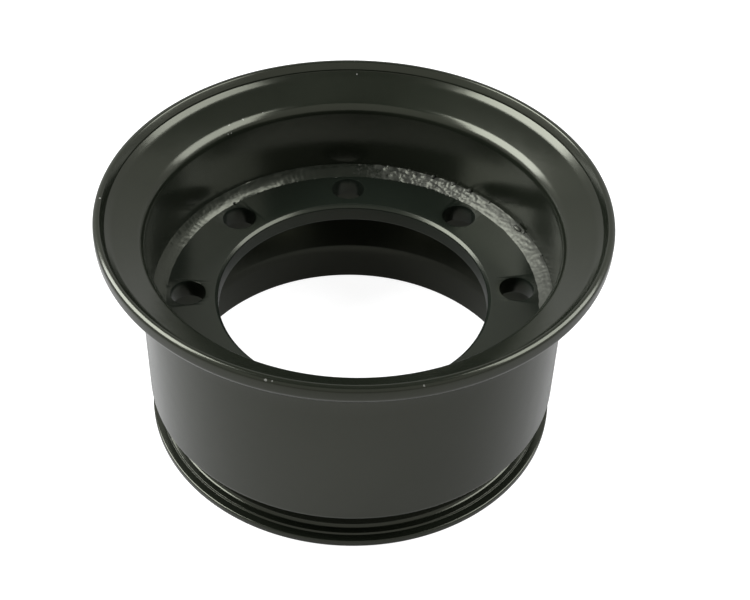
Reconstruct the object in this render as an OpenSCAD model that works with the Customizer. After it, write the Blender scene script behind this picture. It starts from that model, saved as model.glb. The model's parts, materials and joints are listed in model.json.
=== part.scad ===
// Forklift wheel rim: a rolled rim base with a flat wheel disc welded into it.
// It stands on its gutter end, with the wheel's axis along Z and the floor at Z = 0.

/* [Rim base] */
// Outside diameter of the barrel
barrel_d = 387; // [379:1:400]
// Height of the rim base, from the gutter end to the top of the flange
rim_h = 238; // [225:1:260]
// Thickness of the barrel and of the gutter
wall_t = 9; // [6:0.5:10]
// Radius of the edges of the gutter end
end_round = 3; // [1:0.5:3.5]

/* [Fixed flange] */
// How far the flange stands out beyond the barrel
flange_w = 34.5; // [29:0.5:46]
// Thickness of the flange
flange_t = 9.5; // [7:0.5:11]
// Angle at which the flange rises outwards
flange_rise = 28.5; // [24:0.5:36]
// Radius of the turn from the flange's underside to its outer face
flange_turn = 8; // [4:0.5:9]
// Radius of the bullnose between the flange and the inside of the barrel
bullnose = 14; // [8:0.5:18]

/* [Flange lip] */
// Radial width of the raised lip, from the crease to the flange's outer face
lip_w = 9.5; // [8:0.5:12]
// Height of the lip above the crease
lip_rise = 8.3; // [6:0.1:10]
// Radial width of the lip's top
lip_top_w = 6; // [5:0.5:8]
// Height of the steep step above the crease
lip_step_h = 1.6; // [1:0.1:2.5]
// How far the step leans outwards
lip_step_lean = 0.2; // [0:0.1:1]
// Radius of the lip's outer edge
lip_outer_round = 4.5; // [2:0.5:4.5]
// Radius of the lip's inner edge
lip_inner_round = 2; // [0.5:0.5:2.5]
// Radial width of the steeper root below the crease
root_w = 5; // [3:0.5:7]
// Angle at which the root rises outwards
root_rise = 40; // [37:1:48]
// Radius of the hollow between the root and the flange's face
root_round = 18; // [4:1:20]

/* [Bead seat] */
// Width of the tapered seat, along the wheel's axis
seat_w = 36; // [28:1:45]
// Taper of the seat
seat_taper = 5; // [3:0.5:7]
// Radius in the corner where the tyre's heel sits
heel_round = 12; // [5:0.5:14]

/* [Gutter] */
// How far the gutter's floor lies inside the barrel's outside
gutter_depth = 15; // [12:0.5:17]
// Height of the gutter's outer lip
gutter_lip_h = 8; // [6.5:0.5:12]
// How much higher than the lip the groove's bottom lies
groove_rise = 3.5; // [1:0.5:6]
// Height of the groove's upper side, where the barrel begins
gutter_top_z = 34.5; // [28:0.5:40]
// Thickness of the shoulder between the groove and the ledge inside
shoulder_t = 12; // [9:0.5:18]
// Radius of the gutter lip's upper edge
gutter_lip_round = 2.5; // [0.5:0.5:3]
// Radius at the bottom of the groove
groove_round = 4; // [1:0.5:5]
// Radius under the shoulder
shoulder_round = 2; // [0.5:0.5:4]
// Radius of the barrel's lower edge
barrel_edge_round = 8; // [3:0.5:10]
// Radius between the barrel's inside and the ledge
ledge_corner_round = 3; // [1:0.5:5]
// Radius of the ledge's inner edge
ledge_edge_round = 8; // [3:0.5:10]

/* [Wheel disc] */
// Height of the disc's upper face above the floor
disc_z = 133; // [115:0.5:145]
// Thickness of the disc
disc_t = 19; // [14:0.5:24]
// Width of the disc, from the barrel's inside to the centre bore
disc_w = 59.5; // [54.5:0.5:69.5]
// Radius of the bore's edges
bore_round = 3; // [1:0.5:5]

/* [Bolt holes] */
// Distance of the holes' centres from the barrel's inside
bolt_inset = 32; // [31.5:0.5:35.5]
// Diameter of a hole
bolt_hole_d = 32; // [24:0.5:34]
// Number of holes
bolt_count = 8; // [6:1:10]
// Size of the chamfer at each end of a hole
bolt_chamfer = 1; // [0.5:0.25:2]

/* [Weld beads] */
// Leg of the upper bead along the disc
upper_leg_disc = 12.5; // [9:0.5:14]
// Leg of the upper bead along the barrel
upper_leg_wall = 7; // [6:0.5:12]
// Leg of the lower bead along the disc
lower_leg_disc = 8; // [6:0.5:12]
// Leg of the lower bead along the barrel
lower_leg_wall = 8; // [6:0.5:12]
// How far a bead's face bulges between its ripples' tops
bead_bulge = 0.6; // [0.2:0.1:1.5]
// Height of the ripples
ripple_h = 1.2; // [0.3:0.1:2]
// Number of ripples around a bead
ripple_count = 72; // [48:6:84]

/* [Hidden] */

// Distance by which a cut runs past the face that it opens
overrun = 1;
// Places of the points on a bead's face, from its toe on the disc to its toe on the barrel
face_shares = [0.33, 0.67];
// How much of a ripple's height reaches a bead's toes
toe_ripple_share = 0.35;
// Rings that draw one ripple
rings_per_ripple = 4;
// Number of sides with which round shapes are shown
sides_shown = 96;

rim_paint = "#3a3c35";
disc_paint = "#33352f";
bead_paint = "#5a5c55";

barrel_r = barrel_d / 2;
barrel_in_r = barrel_r - wall_t;
gutter_r = barrel_r - gutter_depth;
gutter_in_r = gutter_r - wall_t;
groove_z = gutter_lip_h + groove_rise;
ledge_z = gutter_top_z + shoulder_t;
flange_r = barrel_r + flange_w;
bore_r = barrel_in_r - disc_w;
bolt_circle_r = barrel_in_r - bolt_inset;
disc_under_z = disc_z - disc_t;

// The lip stands on the crease, and the root leads from the crease down to the flange's face
crease = [flange_r - lip_w, rim_h - lip_rise];
step_top = crease + [lip_step_lean, lip_step_h];
root_foot = crease - [root_w, root_w * tan(root_rise)];

// Height of the flange's face and of its underside at a radius
function face_z(radius) = root_foot[1] - (root_foot[0] - radius) * tan(flange_rise);
function underside_z(radius) = face_z(radius) - flange_t / cos(flange_rise);

// The seat widens upwards and meets the flange's underside at the heel
heel_r = barrel_r + seat_w * tan(seat_taper);
heel_z = underside_z(heel_r);

// Corners of the rim base's section, counterclockwise: radius, height, and radius of the round
rim_section = [
    [gutter_in_r, 0, end_round],
    [barrel_r, 0, end_round],
    [barrel_r, gutter_lip_h, gutter_lip_round],
    [gutter_r, groove_z, groove_round],
    [gutter_r, gutter_top_z, shoulder_round],
    [barrel_r, gutter_top_z, barrel_edge_round],
    [barrel_r, heel_z - seat_w, 0],
    [heel_r, heel_z, heel_round],
    [flange_r, underside_z(flange_r), flange_turn],
    [flange_r, rim_h, lip_outer_round],
    [flange_r - lip_top_w, rim_h, lip_inner_round],
    [step_top[0], step_top[1], 0],
    [crease[0], crease[1], 0],
    [root_foot[0], root_foot[1], root_round],
    [barrel_in_r, face_z(barrel_in_r), bullnose],
    [barrel_in_r, ledge_z, ledge_corner_round],
    [gutter_in_r, ledge_z, ledge_edge_round]
];

// Corners of the disc's section: its rim is square against the barrel, its bore is rounded
disc_section = [
    [bore_r, disc_under_z, bore_round],
    [barrel_in_r, disc_under_z, 0],
    [barrel_in_r, disc_z, 0],
    [bore_r, disc_z, bore_round]
];

function unit(v) = v / norm(v);

// Corner i of an outline, counted round and round, and the edges that leave it
function wrapped(corners, i) = corners[(i + len(corners)) % len(corners)];
function point(corners, i) = [wrapped(corners, i)[0], wrapped(corners, i)[1]];
function edge_back(corners, i) = point(corners, i - 1) - point(corners, i);
function edge_on(corners, i) = point(corners, i + 1) - point(corners, i);
function half_angle(corners, i) =
    acos(unit(edge_back(corners, i)) * unit(edge_on(corners, i))) / 2;
function is_hollow(corners, i) = cross(edge_back(corners, i), edge_on(corners, i)) > 0;

// Length that a corner's round takes of each of its edges, and the share of it that an edge has room for
function reach(corners, i) = wrapped(corners, i)[2] / tan(half_angle(corners, i));
function room_share(corners, i) =
    let(wanted = reach(corners, i) + reach(corners, i + 1))
    wanted > norm(edge_on(corners, i)) ? norm(edge_on(corners, i)) / wanted : 1;
function round_r(corners, i) =
    wrapped(corners, i)[2] * min(room_share(corners, i - 1), room_share(corners, i));

// An outline with true arcs at its rounded corners
module rounded_outline(corners) {
    difference() {
        polygon([for (i = [0:len(corners) - 1]) point(corners, i)]);
        for (i = [0:len(corners) - 1])
            if (wrapped(corners, i)[2] > 0 && !is_hollow(corners, i)) corner_web(corners, i);
    }
    for (i = [0:len(corners) - 1])
        if (wrapped(corners, i)[2] > 0 && is_hollow(corners, i)) corner_web(corners, i);
}

// The web between a sharp corner and its arc: cut from a corner that juts out, filled into a hollow one
module corner_web(corners, i) {
    corner = point(corners, i);
    back = unit(edge_back(corners, i));
    on = unit(edge_on(corners, i));
    half = half_angle(corners, i);
    arc_r = round_r(corners, i);
    centre = corner + unit(back + on) * arc_r / sin(half);
    difference() {
        polygon([corner, corner + back * arc_r / tan(half), centre, corner + on * arc_r / tan(half)]);
        translate(centre) circle(r = arc_r, $fn = sides_shown);
    }
}

// A rippled fillet weld in the corner between the disc and the barrel.
// side is 1 above the disc and -1 below it.
module weld_bead(face_height, leg_disc, leg_wall, side) {
    rings = ripple_count * rings_per_ripple;
    outwards = unit([-leg_wall, leg_disc]);

    function swell(i) = ripple_h * abs(sin(180 * i / rings_per_ripple));
    function on_face(i, share) =
        [-leg_disc * (1 - share), leg_wall * share] + outwards * (bead_bulge + swell(i));

    // Section at ring i: root, toe on the disc, face, toe on the barrel
    function section(i) = concat(
        [[0, 0], [-leg_disc - toe_ripple_share * swell(i), 0]],
        [for (share = face_shares) on_face(i, share)],
        [[0, leg_wall + toe_ripple_share * swell(i)]]
    );
    function placed(p, i) = [
        (barrel_in_r + p[0]) * cos(360 * i / rings),
        (barrel_in_r + p[0]) * sin(360 * i / rings),
        face_height + side * p[1]
    ];

    points_round = len(section(0));
    function corner(i, j) = (i % rings) * points_round + j % points_round;
    function patch(i, j) = [corner(i, j), corner(i, j + 1), corner(i + 1, j + 1), corner(i + 1, j)];
    function outward(q) = side > 0 ? q : [q[3], q[2], q[1], q[0]];
    function halves(q) = [[q[0], q[1], q[2]], [q[0], q[2], q[3]]];

    polyhedron(
        points = [for (i = [0:rings - 1]) for (p = section(i)) placed(p, i)],
        faces = [
            for (i = [0:rings - 1])
                for (j = [0:points_round - 1])
                    for (triangle = halves(outward(patch(i, j)))) triangle
        ]
    );
}

// A hole through the disc with a chamfer at each end, centred on its own axis
module bolt_hole() {
    hole_r = bolt_hole_d / 2;
    flare_r = hole_r + bolt_chamfer + overrun;
    flare_h = bolt_chamfer + overrun;
    translate([0, 0, disc_under_z - overrun])
        cylinder(r = hole_r, h = disc_t + 2 * overrun, $fn = sides_shown);
    translate([0, 0, disc_z - bolt_chamfer])
        cylinder(r1 = hole_r, r2 = flare_r, h = flare_h, $fn = sides_shown);
    translate([0, 0, disc_under_z - overrun])
        cylinder(r1 = flare_r, r2 = hole_r, h = flare_h, $fn = sides_shown);
}

module rim_base() {
    color(rim_paint) rotate_extrude($fn = sides_shown) rounded_outline(rim_section);
}

module wheel_disc() {
    color(disc_paint) difference() {
        rotate_extrude($fn = sides_shown) rounded_outline(disc_section);
        for (i = [0:bolt_count - 1])
            rotate(360 * i / bolt_count) translate([bolt_circle_r, 0, 0]) bolt_hole();
    }
}

module upper_weld_bead() {
    color(bead_paint) weld_bead(disc_z, upper_leg_disc, upper_leg_wall, 1);
}

module lower_weld_bead() {
    color(bead_paint) weld_bead(disc_under_z, lower_leg_disc, lower_leg_wall, -1);
}

rim_base();
wheel_disc();
upper_weld_bead();
lower_weld_bead();
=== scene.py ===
# %% [markdown]
# # A forklift wheel rim
# A forklift rim is a rolled steel ring with a thick flat plate welded across it, painted black.
# Nothing on it moves, so all of its beauty is in a few long curves and in how the paint catches light.
# The solid model is loaded first. Its sizes are read from it, and new surfaces are built around it.

# %% Load the frame
import json
import math

import bmesh
import bpy
from mathutils import Matrix, Vector, noise


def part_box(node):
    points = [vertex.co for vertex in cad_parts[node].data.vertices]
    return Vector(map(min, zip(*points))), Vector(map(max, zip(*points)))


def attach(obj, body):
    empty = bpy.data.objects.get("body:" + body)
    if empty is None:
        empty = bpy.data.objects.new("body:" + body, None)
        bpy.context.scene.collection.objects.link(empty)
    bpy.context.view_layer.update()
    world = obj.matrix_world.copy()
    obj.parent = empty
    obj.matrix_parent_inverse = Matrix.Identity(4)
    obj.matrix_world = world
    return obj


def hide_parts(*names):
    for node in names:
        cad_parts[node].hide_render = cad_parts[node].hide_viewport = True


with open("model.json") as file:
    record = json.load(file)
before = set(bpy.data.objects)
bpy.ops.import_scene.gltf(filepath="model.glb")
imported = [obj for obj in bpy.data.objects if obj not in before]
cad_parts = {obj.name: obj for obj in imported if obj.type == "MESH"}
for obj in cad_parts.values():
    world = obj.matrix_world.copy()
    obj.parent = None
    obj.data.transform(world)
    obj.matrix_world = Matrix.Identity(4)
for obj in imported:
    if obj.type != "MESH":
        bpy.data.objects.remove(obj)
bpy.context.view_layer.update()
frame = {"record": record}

mounts = {mount["name"]: mount for mount in frame["record"]["mounts"]}

# %% [markdown]
# ## The sizes
# The boxes of the rim and plate and the mounts give the main sizes, and the section's small sizes are named here once.
# Reading a size from the frame is better than typing it, because the two can't drift apart.

# %% Main sizes, from the frame
MM = 0.001
rim_low, rim_high = (Vector(corner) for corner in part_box("rim_base"))
plate_low, plate_high = (Vector(corner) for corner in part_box("wheel_disc"))
rim_top = rim_high.z
flange_r = rim_high.x
barrel_r = mounts["tyre_barrel"]["dims"]["r_mm"] * MM
barrel_in_r = plate_high.x
bore_r = mounts["centre_bore"]["dims"]["r_mm"] * MM
bolt_circle_r = mounts["bolt_circle"]["dims"]["pcd_mm"] * MM / 2
bolt_hole_r = mounts["bolt_circle"]["dims"]["hole_r_mm"] * MM
bolt_count = mounts["bolt_circle"]["dims"]["count"]
wall = barrel_r - barrel_in_r
print("barrel", barrel_r, "wall", round(wall, 4), "plate", plate_low.z, plate_high.z)

# %% Small sizes of the section
flange_t = 9.5 * MM
flange_rise = math.radians(28.5)
root_w = 5 * MM
root_rise = math.radians(40)
lip_w = 9.5 * MM
lip_rise = 8.3 * MM
lip_top_w = 6 * MM
step_lean = 0.2 * MM
step_h = 1.6 * MM
seat_w = 36 * MM
seat_taper = math.radians(5)
gutter_depth = 15 * MM
gutter_lip_h = 8 * MM
groove_rise = 3.5 * MM
gutter_top = 34.5 * MM
shoulder_t = 12 * MM

# %% [markdown]
# ## Turned pieces
# The rim base was rolled from a bar whose section never changes, so it is drawn once and spun round the axis.
# A section can be drawn by hand from one point: extrude it from corner to corner, close the outline, then bevel each
# corner point to its own radius. A curve with a bevel object would do too, but spinning keeps every ring exact.

# %% Helpers for work in edit mode
def edit(piece):
    bpy.ops.object.mode_set(mode="OBJECT")
    bpy.ops.object.select_all(action="DESELECT")
    bpy.context.view_layer.objects.active = piece
    piece.select_set(True)
    bpy.ops.object.mode_set(mode="EDIT")
    bpy.ops.mesh.select_mode(type="VERT")


def pick_points(piece, test):
    """Selects only the points whose place passes the test."""
    bpy.ops.mesh.select_all(action="DESELECT")
    mesh = bmesh.from_edit_mesh(piece.data)
    for vertex in mesh.verts:
        vertex.select_set(test(vertex.co))
    mesh.select_flush(True)
    bmesh.update_edit_mesh(piece.data)


def one_point(name, place):
    """A mesh of a single point: a plane whose corners are merged."""
    bpy.ops.object.select_all(action="DESELECT")
    bpy.ops.mesh.primitive_plane_add(size=MM, location=(0, 0, 0))
    piece = bpy.context.object
    piece.name = piece.data.name = name
    edit(piece)
    bpy.ops.mesh.merge(type="CENTER")
    bpy.ops.transform.translate(value=place)
    return piece


# %% Draw a section and spin it
same_place = 0.01 * MM


def reach(before, corner, after, radius):
    """How far from a corner its round begins."""
    half = (before - corner).angle(after - corner) / 2
    return radius / math.tan(half)


def draw_outline(piece, corners):
    places = [Vector((r, 0, z)) for r, z, _ in corners]
    for here, there in zip(places, places[1:]):
        bpy.ops.mesh.extrude_region_move(TRANSFORM_OT_translate={"value": there - here})
    ends = (places[0], places[-1])
    pick_points(piece, lambda co: min((co - end).length for end in ends) < same_place)
    bpy.ops.mesh.edge_face_add()
    return places


def round_corners(piece, corners, places, segments):
    for i, (_, _, radius) in enumerate(corners):
        if radius:
            before, corner, after = places[i - 1], places[i], places[(i + 1) % len(places)]
            pick_points(piece, lambda co: (co - corner).length < same_place)
            bpy.ops.mesh.bevel(affect="VERTICES", offset_type="OFFSET", segments=segments,
                               offset=reach(before, corner, after, radius), profile=0.5)


def turned(name, corners, steps, segments=8):
    """Spins a section, given as (radius, height, corner round), into a closed ring."""
    piece = one_point(name, (corners[0][0], 0, corners[0][1]))
    places = draw_outline(piece, corners)
    round_corners(piece, corners, places, segments)
    bpy.ops.mesh.select_all(action="SELECT")
    bpy.ops.mesh.spin(steps=steps, angle=math.tau, center=(0, 0, 0), axis=(0, 0, 1), use_auto_merge=True)
    bpy.ops.mesh.select_all(action="SELECT")
    bpy.ops.mesh.remove_doubles(threshold=same_place)
    bpy.ops.mesh.normals_make_consistent(inside=False)
    bpy.ops.object.mode_set(mode="OBJECT")
    return piece


def smooth(piece, angle):
    bpy.ops.object.select_all(action="DESELECT")
    bpy.context.view_layer.objects.active = piece
    piece.select_set(True)
    bpy.ops.object.shade_smooth_by_angle(angle=math.radians(angle))


def settle(piece, node):
    """Hangs a finished piece on the root body, hides the solid model's part that it stands for, and prints its face
    count.
    """
    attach(piece, "root")
    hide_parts(node)
    print(piece.name, len(piece.data.polygons), "faces")


# %% [markdown]
# ## The rim base
# From the floor up: the gutter where a loose ring is kept, the barrel, the tapered seat for the tyre's bead, and the
# flange with its raised lip. The thin step inside the lip gives the crisp dark line that runs round the flange, and
# the hollow root below it gives the second bright line. The small step in the gutter's floor shows as a thin line.

# %% Rim base
crease_r = flange_r - lip_w
crease_z = rim_top - lip_rise
root_r = crease_r - root_w
root_z = crease_z - root_w * math.tan(root_rise)


def face_z(radius):
    return root_z - (root_r - radius) * math.tan(flange_rise)


def underside_z(radius):
    return face_z(radius) - flange_t / math.cos(flange_rise)


gutter_r = barrel_r - gutter_depth
gutter_in_r = gutter_r - wall
ledge_z = gutter_top + shoulder_t
heel_r = barrel_r + seat_w * math.tan(seat_taper)
heel_z = underside_z(heel_r)
rim_section = [
    (gutter_in_r, 0, 3 * MM),
    (barrel_r, 0, 3 * MM),
    (barrel_r, gutter_lip_h, 1.5 * MM),
    (gutter_r + 7.8 * MM, gutter_lip_h + 0.5 * MM, 0.3 * MM),
    (gutter_r + 7 * MM, gutter_lip_h + 2.1 * MM, 0.4 * MM),
    (gutter_r, gutter_lip_h + groove_rise, 4 * MM),
    (gutter_r, gutter_top, 2 * MM),
    (barrel_r, gutter_top, 8 * MM),
    (barrel_r, heel_z - seat_w, 0),
    (heel_r, heel_z, 12 * MM),
    (flange_r, underside_z(flange_r), 8 * MM),
    (flange_r, rim_top, 4.5 * MM),
    (flange_r - lip_top_w, rim_top, 2 * MM),
    (crease_r + step_lean, crease_z + step_h, 0.8 * MM),
    (crease_r, crease_z, 1 * MM),
    (root_r, root_z, 18 * MM),
    (barrel_in_r, face_z(barrel_in_r), 14 * MM),
    (barrel_in_r, ledge_z + 34 * MM, 60 * MM),
    (gutter_in_r, ledge_z - 8 * MM, 30 * MM),
]
rim = turned("rolled_rim", rim_section, steps=256)
smooth(rim, 20)
settle(rim, "rim_base")

# %% [markdown]
# ## The plate
# The plate's section is spun in the same way. Each bolt hole is then cut by a plain cylinder, and the edges of
# the holes are bevelled, which leaves the small chamfer that a countersink makes.

# %% Wheel disc
bore_round = 3 * MM
bore_bevel = 3 * MM
bevel_round = 2 * MM
hole_chamfer = 1 * MM
plate_section = [
    (bore_r, plate_low.z, bore_round),
    (barrel_in_r, plate_low.z, 0),
    (barrel_in_r, plate_high.z, 0),
    (bore_r + bore_bevel, plate_high.z, bevel_round),
    (bore_r, plate_high.z - bore_bevel, bevel_round),
]
plate = turned("wheel_plate", plate_section, steps=256)


plate_t = plate_high.z - plate_low.z
plate_mid_z = (plate_low.z + plate_high.z) / 2


def cut_hole(piece, angle):
    place = Vector((bolt_circle_r * math.cos(angle), bolt_circle_r * math.sin(angle), plate_mid_z))
    bpy.ops.object.select_all(action="DESELECT")
    bpy.ops.mesh.primitive_cylinder_add(vertices=96, radius=bolt_hole_r, depth=2 * plate_t, location=place)
    drill = bpy.context.object
    cut = piece.modifiers.new("bolt hole", "BOOLEAN")
    cut.operation = "DIFFERENCE"
    cut.solver = "EXACT"
    cut.object = drill
    bpy.context.view_layer.objects.active = piece
    bpy.ops.object.modifier_apply(modifier=cut.name)
    bpy.data.objects.remove(drill, do_unlink=True)


for hole in range(bolt_count):
    cut_hole(plate, math.tau * hole / bolt_count)


def on_hole_edge(edge):
    def on_circle(co):
        flat = Vector((co.x, co.y))
        angle = round(math.atan2(co.y, co.x) * bolt_count / math.tau) * math.tau / bolt_count
        centre = Vector((bolt_circle_r * math.cos(angle), bolt_circle_r * math.sin(angle)))
        at_face = min(abs(co.z - plate_low.z), abs(co.z - plate_high.z)) < same_place
        return at_face and abs((flat - centre).length - bolt_hole_r) < 2 * same_place
    return all(on_circle(vertex.co) for vertex in edge.verts)


edit(plate)
bpy.ops.mesh.select_mode(type="EDGE")
bpy.ops.mesh.select_all(action="DESELECT")
plate_mesh = bmesh.from_edit_mesh(plate.data)
for edge in plate_mesh.edges:
    edge.select_set(on_hole_edge(edge))
bmesh.update_edit_mesh(plate.data)
bpy.ops.mesh.bevel(offset=hole_chamfer, offset_type="OFFSET", segments=2, affect="EDGES")
bpy.ops.object.mode_set(mode="OBJECT")
smooth(plate, 25)
settle(plate, "wheel_disc")

# %% [markdown]
# ## The weld beads
# A weld is laid as a row of overlapping puddles. Its section is spun in many steps, and its points are then moved in
# code: faint ripples follow the angle, and noise drawn out along the bead makes its flakes. A texture could fake them,
# but this bead is lit from the side, where only real height gives the right glints. The upper one is ragged towards
# the back right and nearly smooth everywhere else.

# %% A bead's section
def bead_section(height, leg_plate, leg_wall, side, bulge, face_points):
    """The root, then along the plate, over the face and back up the wall."""
    section = [(barrel_in_r, height, 0)]
    outward = Vector((-leg_wall, leg_plate)).normalized()
    for i in range(face_points + 1):
        share = i / face_points
        swell = outward * bulge * math.sin(math.pi * share)
        section.append((barrel_in_r - leg_plate * (1 - share) + swell.x, height + side * (leg_wall * share + swell.y), 0))
    return section if side > 0 else section[:1] + section[:0:-1]


# %% Flakes and crust
def near(value, centre, width):
    """1 at the centre, falling softly to 0 at a width on either side."""
    return max(0, 1 - ((value - centre) / width) ** 2)


def lay_bead(piece, height, side, leg_plate, leg_wall, ripple_depth, ragged):
    ripples = round(math.tau * barrel_in_r / (6 * MM))
    outward = Vector((-leg_wall, leg_plate)).normalized()
    for vertex in piece.data.vertices:
        co = vertex.co
        radius = math.hypot(co.x, co.y)
        angle = math.atan2(co.y, co.x)
        inward, upward = barrel_in_r - radius, side * (co.z - height)
        along = (upward / leg_wall - inward / leg_plate + 1) / 2
        lifted = min(1, max(0, min(inward, upward) / (1 * MM)))
        slow = noise.noise(Vector((co.x, co.y, 0)) * 45)
        curve = (along - 0.5) ** 2 * 6
        ripple = abs(math.sin(angle * ripples / 2 + curve + slow * 2)) - 0.5
        flakes = noise.noise(Vector((angle * 22, along * 5, 3))) + 0.6 * noise.noise(Vector((angle * 60, along * 9, 7)))
        grit = noise.noise(co * 900)
        crust = max(0, noise.noise(co * 170) + 0.15) * near(along, 0.82, 0.25)
        wild = ragged(math.degrees(angle))
        push = ripple_depth * ripple + wild * MM * (1.2 * flakes + 0.3 * grit + 2.2 * crust) + 0.3 * MM * slow
        edge = 1.3 * MM * noise.noise(Vector((co.x, co.y, 1)) * 110) * (0.35 + wild)
        if upward > same_place or inward > same_place:
            slide = Vector((-1, 0)) * edge * near(along, 0, 0.3) + Vector((0, 1)) * edge * near(along, 1, 0.3)
            move = outward * push * lifted + slide
            vertex.co = co + Vector((co.x / radius * move.x, co.y / radius * move.x, side * move.y))


def hand_laid(degrees):
    """How ragged the upper bead is: most towards the back right, hardly at all round the back and left."""
    return 0.05 + 0.9 * near(degrees, 62, 22) + 0.25 * near(degrees, 18, 45)


# %% Upper bead
upper_leg_plate, upper_leg_wall = 12.5 * MM, 7 * MM
upper_bulge, upper_ripple = 0.5 * MM, 0.08 * MM
upper_section = bead_section(plate_high.z, upper_leg_plate, upper_leg_wall, 1, upper_bulge, face_points=14)
upper = turned("upper_weld", upper_section, steps=1440)
lay_bead(upper, plate_high.z, 1, upper_leg_plate, upper_leg_wall, upper_ripple, hand_laid)
print("upper bead", len(upper.data.vertices), "points")

# %% [markdown]
# ## Spatter
# Molten drops land beside a weld and freeze there as lumps. Each is a small ball, pressed flat against the steel and
# roughened. Their places are listed one by one: along the wall above the ragged stretch, and in two rows on the bead's
# toe.

# %% Lumps on the bead
def lump(angle_deg, radius, height, size, squash, stretch=1):
    angle = math.radians(angle_deg)
    bpy.ops.object.select_all(action="DESELECT")
    place = (radius * math.cos(angle), radius * math.sin(angle), height)
    run = Vector((-math.sin(angle), math.cos(angle), 0))
    bpy.ops.mesh.primitive_ico_sphere_add(subdivisions=3, radius=size, location=place)
    ball = bpy.context.object
    edit(ball)
    bpy.ops.mesh.select_all(action="SELECT")
    bpy.ops.transform.resize(value=(1, 1, squash), center_override=place)
    bpy.ops.object.mode_set(mode="OBJECT")
    bpy.ops.object.transform_apply(location=True, rotation=True, scale=True)
    for vertex in ball.data.vertices:
        away = vertex.co - Vector(place)
        away += run * away.dot(run) * (stretch - 1)
        vertex.co = Vector(place) + away * (1 + 0.5 * noise.noise(vertex.co * 260))
    return ball


crest_z = plate_high.z + upper_leg_wall
crest_r = barrel_in_r - 1 * MM
toe_r = barrel_in_r - upper_leg_plate
toe_drops = ((51, 0.8), (53.5, 0.7), (55, 0.9), (57.5, 0.8), (59, 0.7), (62, 0.9), (64.5, 0.8), (66, 0.7), (69, 0.9),
             (72, 0.8), (76, 0.8), (101.5, 0.7), (104, 0.6), (107.5, 0.8), (110, 0.6), (112.5, 0.7), (116, 0.8),
             (119, 0.7), (121.5, 0.8), (125, 0.6), (128.5, 0.9))
spatter = [lump(*entry) for entry in (
    (26.5, crest_r - 2.5 * MM, crest_z - 1.2 * MM, 3 * MM, 0.8, 1.7), (24, crest_r, crest_z - 1 * MM, 2.2 * MM, 0.9),
    (41, crest_r, crest_z - 0.5 * MM, 1.8 * MM, 0.8), (49, crest_r, crest_z, 2.3 * MM, 0.8),
    (55, crest_r, crest_z - 0.5 * MM, 2.6 * MM, 0.7), (62, crest_r, crest_z, 2.6 * MM, 0.8),
    (64.5, crest_r, crest_z - 1 * MM, 2 * MM, 0.8), (70, crest_r, crest_z - 0.5 * MM, 2.4 * MM, 0.8),
    (77, crest_r, crest_z, 2 * MM, 0.7), (86, crest_r, crest_z - 0.5 * MM, 1.6 * MM, 0.6),
    (12, crest_r, crest_z - 1 * MM, 1.8 * MM, 0.7), (94, barrel_in_r - 13 * MM, plate_high.z, 1.3 * MM, 0.7),
    (131, barrel_in_r - 12.5 * MM, plate_high.z + 0.3 * MM, 1.9 * MM, 0.6))]
spatter += [lump(angle_deg, toe_r, plate_high.z + 0.2 * MM, size * MM, 0.9, 2) for angle_deg, size in toe_drops]
bpy.ops.object.select_all(action="DESELECT")
for ball in spatter:
    ball.select_set(True)
upper.select_set(True)
bpy.context.view_layer.objects.active = upper
bpy.ops.object.join()
smooth(upper, 60)
settle(upper, "upper_weld_bead")

# %% Lower bead
lower_leg, lower_bulge, lower_ripple = 8 * MM, 1 * MM, 0.2 * MM
lower_section = bead_section(plate_low.z, lower_leg, lower_leg, -1, lower_bulge, face_points=8)
lower = turned("lower_weld", lower_section, steps=960)
lay_bead(lower, plate_low.z, -1, lower_leg, lower_leg, lower_ripple, lambda degrees: 0.1)
smooth(lower, 60)
settle(lower, "lower_weld_bead")

# %% [markdown]
# ## Paint
# All four pieces wear the same black paint, a little olive, and it lies smoother on rolled steel than on a weld.
# One node group gives each of them its slow changes of shade and gloss, its fine grain and its slight waves. On the
# beads a paler colour is also painted on one side, as a painted sheen where the left softbox lights them.

# %% Shared paint group
def node_of(nodes, kind, **settings):
    """Adds a node. Settings named in_0, in_1 and so on are values of its sockets."""
    node = nodes.new(kind)
    for name, value in settings.items():
        if name.startswith("in_"):
            node.inputs[int(name[3:])].default_value = value
        else:
            setattr(node, name, value)
    return node


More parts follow.
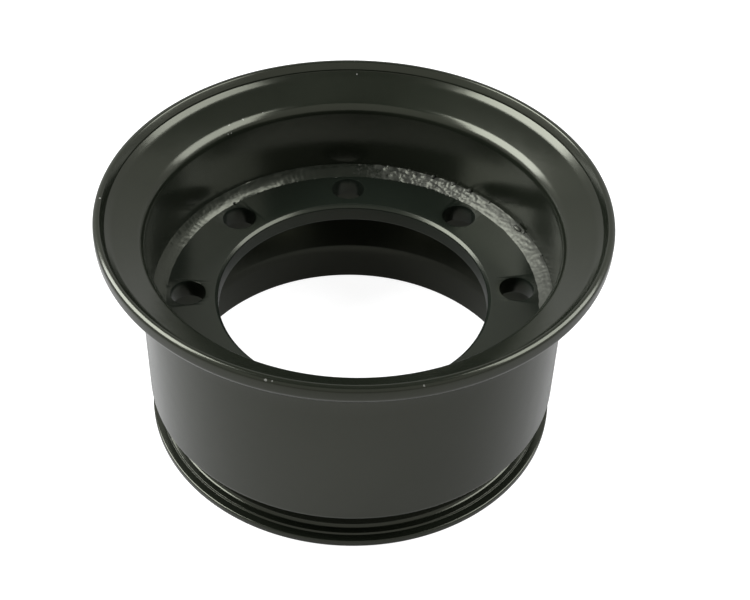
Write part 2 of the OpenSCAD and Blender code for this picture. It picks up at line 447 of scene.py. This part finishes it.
def paint_group():
    group = bpy.data.node_groups.new("paint_film", "ShaderNodeTree")
    for socket, kind, start in (("Shade", "NodeSocketColor", (0.01, 0.011, 0.009, 1)),
                                ("Roughness", "NodeSocketFloat", 0.3), ("Grain", "NodeSocketFloat", 0.1)):
        group.interface.new_socket(socket, in_out="INPUT", socket_type=kind).default_value = start
    for socket, kind in (("Color", "NodeSocketColor"), ("Roughness", "NodeSocketFloat"), ("Normal", "NodeSocketVector")):
        group.interface.new_socket(socket, in_out="OUTPUT", socket_type=kind)
    nodes, link = group.nodes, group.links.new
    given, out, place = (nodes.new(kind) for kind in ("NodeGroupInput", "NodeGroupOutput", "ShaderNodeTexCoord"))
    slow, waves, fine = (nodes.new("ShaderNodeTexNoise") for _ in range(3))
    for texture, scale, detail in ((slow, 14, 4), (waves, 70, 1), (fine, 1500, 2)):
        texture.inputs["Scale"].default_value = scale
        texture.inputs["Detail"].default_value = detail
        link(place.outputs["Object"], texture.inputs["Vector"])
    shade = node_of(nodes, "ShaderNodeMix", data_type="RGBA", blend_type="MULTIPLY", in_0=0.35)
    link(given.outputs["Shade"], shade.inputs["A"])
    link(slow.outputs["Fac"], shade.inputs["B"])
    gloss = node_of(nodes, "ShaderNodeMath", operation="MULTIPLY_ADD", in_1=0.1)
    link(slow.outputs["Fac"], gloss.inputs[0])
    link(given.outputs["Roughness"], gloss.inputs[2])
    wavy = nodes.new("ShaderNodeBump")
    wavy.inputs["Strength"].default_value = 0.25
    wavy.inputs["Distance"].default_value = 0.3 * MM
    link(waves.outputs["Fac"], wavy.inputs["Height"])
    grainy = nodes.new("ShaderNodeBump")
    grainy.inputs["Distance"].default_value = 0.06 * MM
    link(given.outputs["Grain"], grainy.inputs["Strength"])
    link(fine.outputs["Fac"], grainy.inputs["Height"])
    link(wavy.outputs["Normal"], grainy.inputs["Normal"])
    link(shade.outputs["Result"], out.inputs["Color"])
    link(gloss.outputs["Value"], out.inputs["Roughness"])
    link(grainy.outputs["Normal"], out.inputs["Normal"])
    return group


paint_film = paint_group()
print("paint_film", len(paint_film.nodes), "nodes")

# %% [markdown]
# ## Chips and rubs
# The flange has a few small chips where the black is gone and the pale undercoat shows. A chip is a ragged spot round
# one place on the surface, so a small group measures the distance to that place and breaks its edge with noise.

# %% Chip group
def chip_group():
    group = bpy.data.node_groups.new("paint_chip", "ShaderNodeTree")
    group.interface.new_socket("Place", in_out="INPUT", socket_type="NodeSocketVector")
    group.interface.new_socket("Size", in_out="INPUT", socket_type="NodeSocketFloat").default_value = 2 * MM
    group.interface.new_socket("Mask", in_out="OUTPUT", socket_type="NodeSocketFloat")
    nodes, link = group.nodes, group.links.new
    given, out, place = (nodes.new(kind) for kind in ("NodeGroupInput", "NodeGroupOutput", "ShaderNodeTexCoord"))
    gap = node_of(nodes, "ShaderNodeVectorMath", operation="DISTANCE")
    link(place.outputs["Object"], gap.inputs[0])
    link(given.outputs["Place"], gap.inputs[1])
    share = node_of(nodes, "ShaderNodeMath", operation="DIVIDE")
    link(gap.outputs["Value"], share.inputs[0])
    link(given.outputs["Size"], share.inputs[1])
    torn = nodes.new("ShaderNodeTexNoise")
    torn.inputs["Scale"].default_value = 700
    link(place.outputs["Object"], torn.inputs["Vector"])
    edge = node_of(nodes, "ShaderNodeMath", operation="MULTIPLY_ADD", in_1=1.1)
    link(torn.outputs["Fac"], edge.inputs[0])
    link(share.outputs["Value"], edge.inputs[2])
    mask = nodes.new("ShaderNodeMapRange")
    for socket, value in (("From Min", 1.15), ("From Max", 0.95), ("To Min", 0), ("To Max", 1)):
        mask.inputs[socket].default_value = value
    link(edge.outputs["Value"], mask.inputs["Value"])
    link(mask.outputs["Result"], out.inputs["Mask"])
    return group


paint_chip = chip_group()


def on_flange(angle_deg, radius, height):
    angle = math.radians(angle_deg)
    return Vector((radius * math.cos(angle), radius * math.sin(angle), height))


chips = [
    (on_flange(122.6, 0.1902, 0.2124), 1.6 * MM), (on_flange(127.4, 0.1905, 0.2126), 1.4 * MM),
    (on_flange(128.9, 0.1856, 0.2067), 1.5 * MM), (on_flange(127.8, 0.1855, 0.2063), 1.1 * MM),
    (on_flange(116.1, 0.1905, 0.2127), 1.0 * MM), (on_flange(177.9, 0.2228, 0.2378), 1.6 * MM),
    (on_flange(87.5, 0.2159, 0.2275), 1.2 * MM), (on_flange(-109.5, 0.2270, 0.2361), 1.9 * MM),
    (on_flange(-108.2, 0.2268, 0.2364), 1.4 * MM), (on_flange(-78.5, 0.2270, 0.2361), 1.6 * MM)]
print(len(chips), "chips, the widest", max(size for _, size in chips))

# %% The three finishes
def paint(name, shade, roughness, grain):
    material = bpy.data.materials.new(name)
    material.use_nodes = True
    nodes, link = material.node_tree.nodes, material.node_tree.links.new
    surface = nodes["Principled BSDF"]
    surface.inputs["Specular Tint"].default_value = (0.97, 1, 0.8, 1)
    film = nodes.new("ShaderNodeGroup")
    film.node_tree = paint_film
    film.inputs["Shade"].default_value = (*shade, 1)
    film.inputs["Roughness"].default_value = roughness
    film.inputs["Grain"].default_value = grain
    link(film.outputs["Color"], surface.inputs["Base Color"])
    link(film.outputs["Roughness"], surface.inputs["Roughness"])
    link(film.outputs["Normal"], surface.inputs["Normal"])
    return material


def add_chips(material, undercoat):
    nodes, link = material.node_tree.nodes, material.node_tree.links.new
    film = next(node for node in nodes if node.type == "GROUP")
    total = None
    for place, size in chips:
        chip = nodes.new("ShaderNodeGroup")
        chip.node_tree = paint_chip
        chip.inputs["Place"].default_value = place
        chip.inputs["Size"].default_value = size
        if total:
            more = node_of(nodes, "ShaderNodeMath", operation="MAXIMUM")
            link(total, more.inputs[0])
            link(chip.outputs["Mask"], more.inputs[1])
        total = more.outputs["Value"] if total else chip.outputs["Mask"]
    bare = node_of(nodes, "ShaderNodeMix", data_type="RGBA")
    link(total, bare.inputs["Factor"])
    link(film.outputs["Color"], bare.inputs["A"])
    bare.inputs["B"].default_value = (*undercoat, 1)
    link(bare.outputs["Result"], nodes["Principled BSDF"].inputs["Base Color"])


def painted_side_sheen(material, sheen_colour, toward_deg):
    """Paints a paler colour, with a mottled edge, on the side of the ring that faces toward_deg, and makes it a little
    rougher there: a painted sheen for the light that the left softbox throws on the weld on that side.
    """
    nodes, link = material.node_tree.nodes, material.node_tree.links.new
    film = next(node for node in nodes if node.type == "GROUP")
    place, mottle = nodes.new("ShaderNodeTexCoord"), nodes.new("ShaderNodeTexNoise")
    mottle.inputs["Scale"].default_value = 260
    link(place.outputs["Object"], mottle.inputs["Vector"])
    side = node_of(nodes, "ShaderNodeVectorMath", operation="DOT_PRODUCT")
    side.inputs[1].default_value = (math.cos(math.radians(toward_deg)), math.sin(math.radians(toward_deg)), 0)
    link(place.outputs["Object"], side.inputs[0])
    torn = node_of(nodes, "ShaderNodeMath", operation="MULTIPLY_ADD", in_1=0.09)
    link(mottle.outputs["Fac"], torn.inputs[0])
    link(side.outputs["Value"], torn.inputs[2])
    share = nodes.new("ShaderNodeMapRange")
    for socket, value in (("From Min", 0.14), ("From Max", 0.19), ("To Min", 0), ("To Max", 1)):
        share.inputs[socket].default_value = value
    link(torn.outputs["Value"], share.inputs["Value"])
    blend = node_of(nodes, "ShaderNodeMix", data_type="RGBA")
    link(share.outputs["Result"], blend.inputs["Factor"])
    link(film.outputs["Color"], blend.inputs["A"])
    blend.inputs["B"].default_value = (*sheen_colour, 1)
    link(blend.outputs["Result"], nodes["Principled BSDF"].inputs["Base Color"])
    duller = node_of(nodes, "ShaderNodeMath", operation="MULTIPLY_ADD", in_1=0.2)
    link(share.outputs["Result"], duller.inputs[0])
    link(film.outputs["Roughness"], duller.inputs[2])
    link(duller.outputs["Value"], nodes["Principled BSDF"].inputs["Roughness"])


rim_paint = paint("rim_paint", (0.0078, 0.0095, 0.0062), 0.13, 0.1)
add_chips(rim_paint, (0.17, 0.17, 0.155))
disc_paint = paint("disc_paint", (0.007, 0.0096, 0.0068), 0.19, 0.15)
disc_paint.node_tree.nodes["Principled BSDF"].inputs["Specular IOR Level"].default_value = 0.4
bead_paint = paint("bead_paint", (0.0095, 0.0116, 0.0082), 0.18, 0.3)
# Painted sheen: the beads are coloured paler round 28 degrees, where the left softbox lights them.
painted_side_sheen(bead_paint, (0.036, 0.037, 0.032), 28)
for piece, finish in ((rim, rim_paint), (plate, disc_paint), (upper, bead_paint), (lower, bead_paint)):
    piece.data.materials.clear()
    piece.data.materials.append(finish)
    print(piece.name, finish.name)

# %% [markdown]
# ## Floor, light and camera
# The rim stands on a plain white floor. Two large softboxes stand to its left and right and lean over it. Their
# mirror images are the long bright arcs inside the flange, so each is placed by asking where those arcs begin and end.
# A dark ceiling keeps the flange's far face as deep as it is in a studio.
# The floor and the world show white to the eye and in reflections, while plain light does the lighting.

# %% A level for the eye, for reflections and for plain light
def seen_level(nodes, link, plain, eye, mirrored):
    """A strength that differs between camera rays, glossy and transmission rays, and the rays that light things."""
    path = nodes.new("ShaderNodeLightPath")
    shiny = node_of(nodes, "ShaderNodeMath", operation="MAXIMUM")
    link(path.outputs["Is Glossy Ray"], shiny.inputs[0])
    link(path.outputs["Is Transmission Ray"], shiny.inputs[1])
    for_eye = node_of(nodes, "ShaderNodeMath", operation="MULTIPLY_ADD", in_1=eye - plain, in_2=plain)
    link(path.outputs["Is Camera Ray"], for_eye.inputs[0])
    for_both = node_of(nodes, "ShaderNodeMath", operation="MULTIPLY_ADD", in_1=mirrored - plain)
    link(shiny.outputs["Value"], for_both.inputs[0])
    link(for_eye.outputs["Value"], for_both.inputs[2])
    return for_both.outputs["Value"]


# %% Floor
bpy.ops.object.select_all(action="DESELECT")
floor_size = 12
bpy.ops.mesh.primitive_plane_add(size=floor_size, location=(0, 0, 0))
floor = bpy.context.object
floor.name = "floor"
floor_paint = bpy.data.materials.new("floor")
floor_paint.use_nodes = True
nodes, link = floor_paint.node_tree.nodes, floor_paint.node_tree.links.new
nodes.remove(nodes["Principled BSDF"])
matt = node_of(nodes, "ShaderNodeBsdfDiffuse", in_0=(0.37, 0.37, 0.36, 1))
glow = nodes.new("ShaderNodeEmission")
link(seen_level(nodes, link, plain=0, eye=0.92, mirrored=0.15), glow.inputs["Strength"])
both = nodes.new("ShaderNodeAddShader")
link(matt.outputs["BSDF"], both.inputs[0])
link(glow.outputs["Emission"], both.inputs[1])
link(both.outputs["Shader"], nodes["Material Output"].inputs["Surface"])
floor.data.materials.append(floor_paint)

# %% Ceiling
bpy.ops.object.select_all(action="DESELECT")
ceiling_size, ceiling_z = 3.6, 2.8
bpy.ops.mesh.primitive_plane_add(size=ceiling_size, location=(0, 0, ceiling_z))
ceiling = bpy.context.object
ceiling.name = "ceiling"
ceiling.visible_camera = False
ceiling_paint = bpy.data.materials.new("ceiling")
ceiling_paint.use_nodes = True
ceiling_surface = ceiling_paint.node_tree.nodes["Principled BSDF"]
ceiling_surface.inputs["Base Color"].default_value = (0.4, 0.4, 0.4, 1)
ceiling_surface.inputs["Roughness"].default_value = 1
ceiling.data.materials.append(ceiling_paint)

# %% Lights
cool_white = (0.95, 0.96, 1)


def softbox(name, place, across, along, size, power):
    """A square soft light. across and along are the directions of its edges, as seen on the real thing."""
    x = Vector(across).normalized()
    z = x.cross(Vector(along)).normalized()
    if z.dot(Vector(place)) < 0:
        x, z = -x, -z
    light = bpy.data.objects.new(name, bpy.data.lights.new(name, "AREA"))
    light.data.size = size
    light.data.energy = power
    light.data.color = cool_white
    light.matrix_world = Matrix.Translation(place) @ Matrix((x, z.cross(x), z)).transposed().to_4x4()
    bpy.context.collection.objects.link(light)
    print(name, power, "W, radiance", round(power / (math.pi * size * size), 1))


softbox("left_softbox", (-1.12, 0.24, 1.19), (0.17, -0.94, 0.3), (0.47, 0.34, 0.81), 1.16, 55)
softbox("right_softbox", (1.13, -0.01, 1.19), (-0.36, -0.88, 0.3), (-0.39, 0.43, 0.81), 1.16, 31)

world = bpy.data.worlds.new("studio")
bpy.context.scene.world = world
world.use_nodes = True
nodes, link = world.node_tree.nodes, world.node_tree.links.new
link(seen_level(nodes, link, plain=0.4, eye=1, mirrored=0.72), nodes["Background"].inputs["Strength"])
nodes["Background"].inputs["Color"].default_value = (1, 1, 1, 1)

# %% Camera
frame_width = 750
focal_px = 1418.4
sensor_w = 36
distance = 1.24906
aim = Vector((0, 0, rim_top - 3.5 * MM))
azimuth, elevation = math.radians(-2.724), math.radians(38.807)
pan, tilt, roll = (math.radians(angle) for angle in (0.887, -3.812, 1.237))

forward = Vector((0, math.cos(elevation), -math.sin(elevation)))
right = Vector((1, 0, 0))
up = Vector((0, math.sin(elevation), math.cos(elevation)))
place = -forward * distance


def swing(first, second, angle):
    """Turns two directions together, the first towards the second."""
    cos, sin = math.cos(angle), math.sin(angle)
    return cos * first + sin * second, cos * second - sin * first


forward, right = swing(forward, right, pan)
forward, up = swing(forward, up, tilt)
right, up = swing(right, up, roll)
turn = Matrix.Rotation(azimuth, 3, "Z")
axes = Matrix((turn @ right, turn @ up, turn @ -forward)).transposed()
camera = bpy.data.objects.new("camera", bpy.data.cameras.new("camera"))
camera.data.sensor_width = sensor_w
camera.data.lens = focal_px / frame_width * sensor_w
camera.matrix_world = Matrix.Translation(aim + turn @ place) @ axes.to_4x4()
bpy.context.collection.objects.link(camera)
bpy.context.scene.camera = camera
bpy.context.scene.view_settings.view_transform = "Standard"
